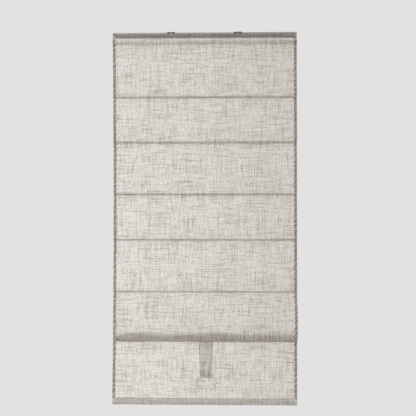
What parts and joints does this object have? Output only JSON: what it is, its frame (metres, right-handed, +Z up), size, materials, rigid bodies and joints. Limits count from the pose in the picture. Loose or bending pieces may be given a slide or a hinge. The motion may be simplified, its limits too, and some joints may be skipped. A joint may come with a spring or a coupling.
{
  "type": "roman blind",
  "caption": "Cordless roman blind: linen cloth with stitched ribs and a soft lower fold, spring-lift headrail, weighted bottom hem and a pull handle behind the cloth.",
  "frame": {"origin": "middle of the four screw holes on the top faces of the two brackets", "axes": "+Z up, +X along the headrail to the right seen from the room, the cloth faces -Y into the room"},
  "size_m": [0.787, 0.0931, 1.5918],
  "materials": {
    "linen": "matte slub weave",
    "rail_paint": "satin",
    "white_plastic": "matte",
    "bracket_paint": "satin",
    "tape": "woven",
    "wheel_plastic": "matte",
    "spring_steel": "rolled",
    "cord": "braided",
    "rod": "pultruded",
    "bar": "extruded",
    "clear_plastic": "clear"
  },
  "bodies": {
    "headrail": {"headrail_channel": "rail_paint", "end_cap_left": "white_plastic", "end_cap_right": "white_plastic", "bracket_left": "bracket_paint", "bracket_right": "bracket_paint", "hook_strip": "tape", "loop_strip": "tape", "shade_fabric": "linen", "motor_base": "white_plastic", "motor_cover": "white_plastic", "drive_spring": "spring_steel", "cord_guide_left": "white_plastic", "cord_guide_right": "white_plastic", "lift_cord_left": "cord", "lift_cord_right": "cord"},
    "bottom_rail": {"bottom_bar": "bar", "bottom_hem": "linen", "bar_caps": "white_plastic", "cord_anchors": "white_plastic"},
    "rib_1": {"rib_rod_1": "rod", "rib_sleeve_1": "linen", "rib_eyelets_1": "white_plastic"},
    "rib_2": {"rib_rod_2": "rod", "rib_sleeve_2": "linen", "rib_eyelets_2": "white_plastic"},
    "rib_3": {"rib_rod_3": "rod", "rib_sleeve_3": "linen", "rib_eyelets_3": "white_plastic"},
    "rib_4": {"rib_rod_4": "rod", "rib_sleeve_4": "linen", "rib_eyelets_4": "white_plastic"},
    "rib_5": {"rib_rod_5": "rod", "rib_sleeve_5": "linen", "rib_eyelets_5": "white_plastic"},
    "rib_6": {"rib_rod_6": "rod", "rib_sleeve_6": "linen", "rib_eyelets_6": "white_plastic", "pull_strap": "linen"},
    "handle": {"pull_handle": "clear_plastic"},
    "cord_spool_left": {"cord_spool_left": "wheel_plastic"},
    "cord_spool_right": {"cord_spool_right": "wheel_plastic"},
    "idler_gear": {"idler_gear": "wheel_plastic"},
    "drive_drum": {"drive_drum": "wheel_plastic"},
    "storage_drum": {"storage_drum": "wheel_plastic"}
  },
  "joints": [
    {"name": "lift", "type": "slide", "parent": "headrail", "child": "bottom_rail", "axis": [0, 0, 1], "range_m": [0, 1.3815], "deforming": ["shade_fabric", "lift_cord_left", "lift_cord_right", "drive_spring"]},
    {"name": "rib_1_lift", "type": "slide", "parent": "headrail", "child": "rib_1", "axis": [0, 0, 1], "range_m": [0, 0.23]},
    {"name": "rib_2_lift", "type": "slide", "parent": "headrail", "child": "rib_2", "axis": [0, 0, 1], "range_m": [0, 0.4037]},
    {"name": "rib_3_lift", "type": "slide", "parent": "headrail", "child": "rib_3", "axis": [0, 0, 1], "range_m": [0, 0.6026]},
    {"name": "rib_4_lift", "type": "slide", "parent": "headrail", "child": "rib_4", "axis": [0, 0, 1], "range_m": [0, 0.7763]},
    {"name": "rib_5_lift", "type": "slide", "parent": "headrail", "child": "rib_5", "axis": [0, 0, 1], "range_m": [0, 0.9752]},
    {"name": "rib_6_lift", "type": "slide", "parent": "headrail", "child": "rib_6", "axis": [0, 0, 1], "range_m": [0, 1.1489]},
    {"name": "cord_spool_left_spin", "type": "hinge", "parent": "headrail", "child": "cord_spool_left", "pos_m": [-0.054, 0, -0.015], "axis": [0, 0, 1], "range_deg": [0, 6598]},
    {"name": "idler_gear_spin", "type": "hinge", "parent": "headrail", "child": "idler_gear", "pos_m": [-0.018, 0, -0.015], "axis": [0, 0, 1], "range_deg": [-6598, 0]},
    {"name": "drive_drum_spin", "type": "hinge", "parent": "headrail", "child": "drive_drum", "pos_m": [0.018, 0, -0.015], "axis": [0, 0, 1], "range_deg": [0, 6598]},
    {"name": "cord_spool_right_spin", "type": "hinge", "parent": "headrail", "child": "cord_spool_right", "pos_m": [0.054, 0, -0.015], "axis": [0, 0, 1], "range_deg": [-6598, 0]},
    {"name": "storage_drum_spin", "type": "hinge", "parent": "headrail", "child": "storage_drum", "pos_m": [-0.018, 0, -0.015], "axis": [0, 0, 1], "range_deg": [-6598, 0]},
    {"name": "handle_swing", "type": "hinge", "parent": "rib_6", "child": "handle", "pos_m": [0, -0.01507, -1.4708], "axis": [1, 0, 0], "range_deg": [0, 90]}
  ],
  "couplings": [
    {"joint": "rib_1_lift", "follows": "lift", "ratio": 0.16612},
    {"joint": "rib_2_lift", "follows": "lift", "ratio": 0.29186},
    {"joint": "rib_3_lift", "follows": "lift", "ratio": 0.43583},
    {"joint": "rib_4_lift", "follows": "lift", "ratio": 0.56156},
    {"joint": "rib_5_lift", "follows": "lift", "ratio": 0.70554},
    {"joint": "rib_6_lift", "follows": "lift", "ratio": 0.83127},
    {"joint": "cord_spool_left_spin", "follows": "lift", "rad_per_m": 83.333},
    {"joint": "idler_gear_spin", "follows": "lift", "rad_per_m": -83.333},
    {"joint": "drive_drum_spin", "follows": "lift", "rad_per_m": 83.333},
    {"joint": "cord_spool_right_spin", "follows": "lift", "rad_per_m": -83.333},
    {"joint": "storage_drum_spin", "follows": "lift", "rad_per_m": -83.333}
  ]
}
